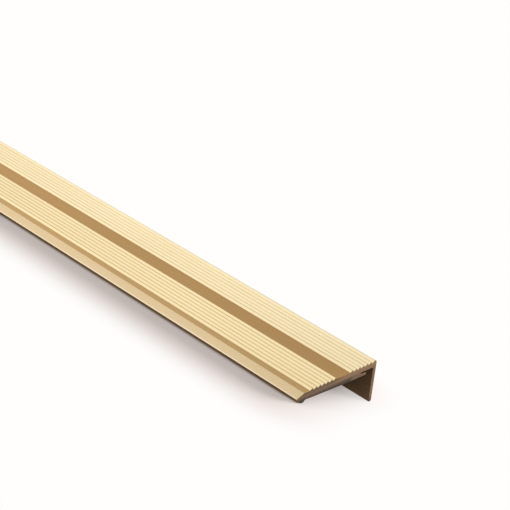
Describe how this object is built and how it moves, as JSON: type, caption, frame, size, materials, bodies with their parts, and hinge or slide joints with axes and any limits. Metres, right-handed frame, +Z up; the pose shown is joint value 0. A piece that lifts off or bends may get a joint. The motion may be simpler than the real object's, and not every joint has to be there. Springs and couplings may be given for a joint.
{
  "type": "stair nosing profile",
  "caption": "Straight L-shaped metal stair nosing: ribbed tread deck with plain bands and a bevelled front edge, and a plain leg turned down along the back.",
  "frame": {"origin": "middle of the rectangle that the resting profile covers, on the floor", "axes": "+X along the length, +Y from the thin bevelled front edge towards the leg, +Z up. The profile lies as it rests unheld, on its toe and the foot of its leg, so the deck faces up and slopes down towards -Y by 19.5 degrees"},
  "size_m": [0.9, 0.0502, 0.0192],
  "materials": {
    "gold_anodised_aluminium": "satin anodised, pale gold"
  },
  "bodies": {
    "root": {"nosing_profile": "gold_anodised_aluminium"}
  },
  "joints": []
}
